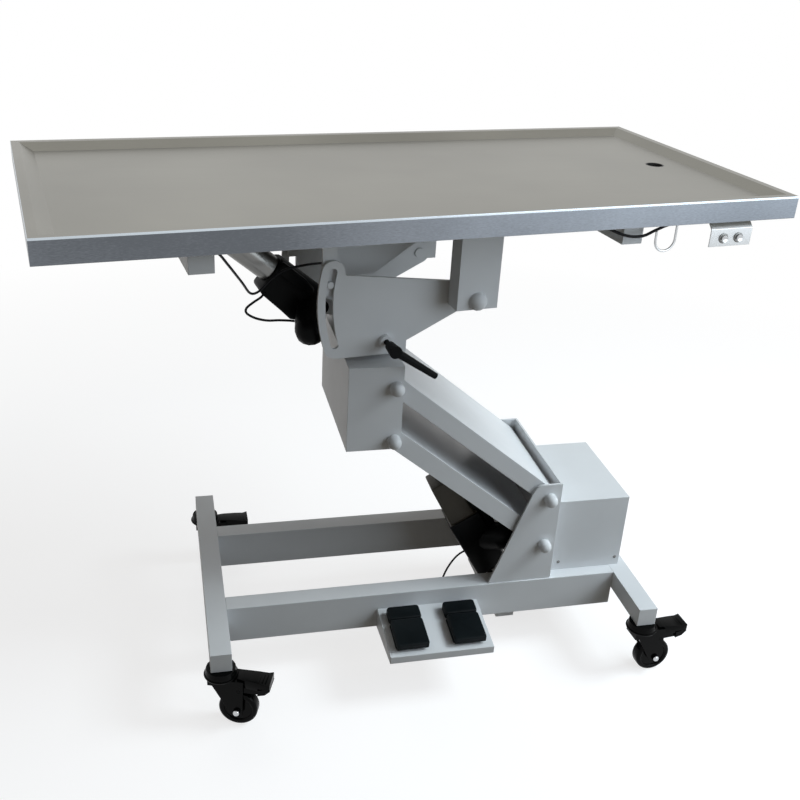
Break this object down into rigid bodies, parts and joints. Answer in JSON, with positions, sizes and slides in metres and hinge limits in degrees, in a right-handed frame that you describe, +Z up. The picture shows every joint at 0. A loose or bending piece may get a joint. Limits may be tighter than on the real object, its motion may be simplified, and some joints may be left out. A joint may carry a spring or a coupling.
{
  "type": "veterinary exam table",
  "caption": "Electric vet exam table: stainless tray top that tilts and swivels on a parallelogram lift, over a wheeled steel base with foot pedals.",
  "frame": {"origin": "on the floor below the middle of the table top", "axes": "+X along the base rails towards the control box, +Y away from the foot pedals, +Z up"},
  "size_m": [1.3708, 0.775, 0.996],
  "materials": {
    "paint": "off-white powder coat, semi-gloss",
    "stainless": "satin brushed stainless steel",
    "bright_metal": "polished metal",
    "black_plastic": "black moulded plastic",
    "rubber": "black rubber"
  },
  "bodies": {
    "base": {"foot_left": "paint", "foot_right": "paint", "rail_front": "paint", "rail_rear": "paint", "lift_bracket": "paint", "actuator_crossbar": "paint", "control_unit": "black_plastic", "control_box_cover": "paint", "mains_inlet": "black_plastic", "pedal_tray": "paint", "pedal_housing_left": "black_plastic", "pedal_housing_right": "black_plastic", "lift_pin_lower": "paint", "lift_pin_upper": "paint", "foot_switch_cable": "rubber"},
    "lower_arm": {"lower_arm": "paint"},
    "upper_arm": {"upper_arm": "paint"},
    "head": {"head_box": "paint", "head_pin_lower": "paint", "head_pin_upper": "paint", "swivel_spindle": "stainless"},
    "lift_actuator": {"lift_actuator": "black_plastic"},
    "lift_rod": {"lift_rod": "bright_metal"},
    "yoke": {"yoke_plate_front": "paint", "yoke_plate_rear": "paint", "yoke_base": "paint"},
    "clamp_lever": {"clamp_lever": "black_plastic"},
    "table": {"table_top": "stainless", "drain_spigot": "stainless", "frame_rail_front": "paint", "frame_rail_rear": "paint", "cross_tube_left": "paint", "cross_tube_right": "paint", "post_front": "paint", "post_rear": "paint", "stop_bracket": "paint", "hook": "stainless", "button_panel": "stainless", "tilt_cable": "rubber", "button_cable": "rubber"},
    "tilt_actuator": {"tilt_actuator": "black_plastic", "tilt_tube": "bright_metal", "motor_cable": "rubber"},
    "tilt_rod": {"tilt_rod": "bright_metal"},
    "button_up": {"button_up": "bright_metal"},
    "button_down": {"button_down": "bright_metal"},
    "treadle_left": {"treadle_left": "rubber"},
    "treadle_right": {"treadle_right": "rubber"},
    "caster_front_left": {"caster_fork_front_left": "black_plastic"},
    "wheel_front_left": {"caster_wheel_front_left": "rubber"},
    "brake_front_left": {"caster_brake_front_left": "black_plastic"},
    "caster_front_right": {"caster_fork_front_right": "black_plastic"},
    "wheel_front_right": {"caster_wheel_front_right": "rubber"},
    "brake_front_right": {"caster_brake_front_right": "black_plastic"},
    "caster_rear_left": {"caster_fork_rear_left": "black_plastic"},
    "wheel_rear_left": {"caster_wheel_rear_left": "rubber"},
    "brake_rear_left": {"caster_brake_rear_left": "black_plastic"},
    "caster_rear_right": {"caster_fork_rear_right": "black_plastic"},
    "wheel_rear_right": {"caster_wheel_rear_right": "rubber"},
    "brake_rear_right": {"caster_brake_rear_right": "black_plastic"}
  },
  "joints": [
    {"name": "lift", "type": "hinge", "parent": "base", "child": "lower_arm", "pos_m": [0.31306, -0.00807, 0.2525], "axis": [0, -1, 0], "range_deg": [-5, 36]},
    {"name": "upper_arm_swing", "type": "hinge", "parent": "base", "child": "upper_arm", "pos_m": [0.31306, -0.00807, 0.3625], "axis": [0, -1, 0], "range_deg": [-5.5, 36.5]},
    {"name": "head_level", "type": "hinge", "parent": "lower_arm", "child": "head", "pos_m": [-0.01944, -0.00807, 0.52], "axis": [0, -1, 0], "range_deg": [-36.5, 5.5]},
    {"name": "lift_actuator_swing", "type": "hinge", "parent": "base", "child": "lift_actuator", "pos_m": [0.26256, -0.00807, 0.103], "axis": [0, -1, 0], "range_deg": [-4.5, 29]},
    {"name": "lift_rod_slide", "type": "slide", "parent": "lift_actuator", "child": "lift_rod", "axis": [-0.5073, 0, 0.8618], "range_m": [-0.0865, 0.0125]},
    {"name": "swivel", "type": "hinge", "parent": "head", "child": "yoke", "pos_m": [-0.05744, -0.00807, 0.68], "axis": [0, 0, 1], "range_deg": [-98, 82]},
    {"name": "clamp", "type": "hinge", "parent": "yoke", "child": "clamp_lever", "pos_m": [-0.03656, -0.15661, 0.7146], "axis": [0.1392, -0.9903, 0], "range_deg": [0, 70]},
    {"name": "tilt", "type": "hinge", "parent": "yoke", "child": "table", "pos_m": [0.09903, 0.01392, 0.7926], "axis": [0.1392, -0.9903, 0], "range_deg": [-4, 15]},
    {"name": "tilt_actuator_swing", "type": "hinge", "parent": "yoke", "child": "tilt_actuator", "pos_m": [-0.14458, -0.02032, 0.7446], "axis": [0.1392, -0.9903, 0], "range_deg": [-7, 25.6]},
    {"name": "tilt_rod_slide", "type": "slide", "parent": "tilt_actuator", "child": "tilt_rod", "axis": [-0.7622, -0.1071, 0.6384], "range_m": [-0.0425, 0.0115]},
    {"name": "press_left", "type": "hinge", "parent": "base", "child": "treadle_left", "pos_m": [0.01406, -0.21079, 0.1369], "axis": [1, 0, 0], "range_deg": [0, 3], "stiffness_Nm_per_rad": 1.5, "springref_deg": -8.59},
    {"name": "press_right", "type": "hinge", "parent": "base", "child": "treadle_right", "pos_m": [0.13106, -0.21079, 0.1369], "axis": [1, 0, 0], "range_deg": [0, 3], "stiffness_Nm_per_rad": 1.5, "springref_deg": -8.59},
    {"name": "push_up", "type": "slide", "parent": "table", "child": "button_up", "axis": [-0.1392, 0.9903, 0], "range_m": [0, 0.0022], "stiffness_N_per_m": 300, "springref_m": -0.003},
    {"name": "push_down", "type": "slide", "parent": "table", "child": "button_down", "axis": [-0.1392, 0.9903, 0], "range_m": [0, 0.0022], "stiffness_N_per_m": 300, "springref_m": -0.003},
    {"name": "swivel_front_left", "type": "hinge", "parent": "base", "child": "caster_front_left", "pos_m": [-0.35744, -0.27307, 0.12], "axis": [0, 0, 1], "continuous": true},
    {"name": "roll_front_left", "type": "hinge", "parent": "caster_front_left", "child": "wheel_front_left", "pos_m": [-0.32549, -0.2847, 0.0375], "axis": [0.342, 0.9397, 0], "continuous": true},
    {"name": "brake_front_left", "type": "hinge", "parent": "caster_front_left", "child": "brake_front_left", "pos_m": [-0.32173, -0.28607, 0.086], "axis": [0.342, 0.9397, 0], "range_deg": [0, 8]},
    {"name": "swivel_front_right", "type": "hinge", "parent": "base", "child": "caster_front_right", "pos_m": [0.50256, -0.27307, 0.12], "axis": [0, 0, 1], "continuous": true},
    {"name": "roll_front_right", "type": "hinge", "parent": "caster_front_right", "child": "wheel_front_right", "pos_m": [0.53648, -0.2707, 0.0375], "axis": [-0.0698, 0.9976, 0], "continuous": true},
    {"name": "brake_front_right", "type": "hinge", "parent": "caster_front_right", "child": "brake_front_right", "pos_m": [0.54047, -0.27042, 0.086], "axis": [-0.0698, 0.9976, 0], "range_deg": [0, 8]},
    {"name": "swivel_rear_left", "type": "hinge", "parent": "base", "child": "caster_rear_left", "pos_m": [-0.35744, 0.25693, 0.12], "axis": [0, 0, 1], "continuous": true},
    {"name": "roll_rear_left", "type": "hinge", "parent": "caster_rear_left", "child": "wheel_rear_left", "pos_m": [-0.32344, 0.25693, 0.0375], "axis": [0, 1, 0], "continuous": true},
    {"name": "brake_rear_left", "type": "hinge", "parent": "caster_rear_left", "child": "brake_rear_left", "pos_m": [-0.31944, 0.25693, 0.086], "axis": [0, 1, 0], "range_deg": [0, 8]},
    {"name": "swivel_rear_right", "type": "hinge", "parent": "base", "child": "caster_rear_right", "pos_m": [0.50256, 0.25693, 0.12], "axis": [0, 0, 1], "continuous": true},
    {"name": "roll_rear_right", "type": "hinge", "parent": "caster_rear_right", "child": "wheel_rear_right", "pos_m": [0.47175, 0.2713, 0.0375], "axis": [-0.4226, -0.9063, 0], "continuous": true},
    {"name": "brake_rear_right", "type": "hinge", "parent": "caster_rear_right", "child": "brake_rear_right", "pos_m": [0.46812, 0.27299, 0.086], "axis": [-0.4226, -0.9063, 0], "range_deg": [0, 8]}
  ],
  "couplings": [
    {"joint": "upper_arm_swing", "follows": "lift", "ratio": 1},
    {"joint": "head_level", "follows": "lift", "ratio": -1},
    {"joint": "lift_actuator_swing", "follows": "lift", "ratio": 0.7902},
    {"joint": "lift_rod_slide", "follows": "lift", "m_per_rad": -0.1364},
    {"joint": "tilt_actuator_swing", "follows": "tilt", "ratio": 1.693},
    {"joint": "tilt_rod_slide", "follows": "tilt", "m_per_rad": -0.16143}
  ]
}
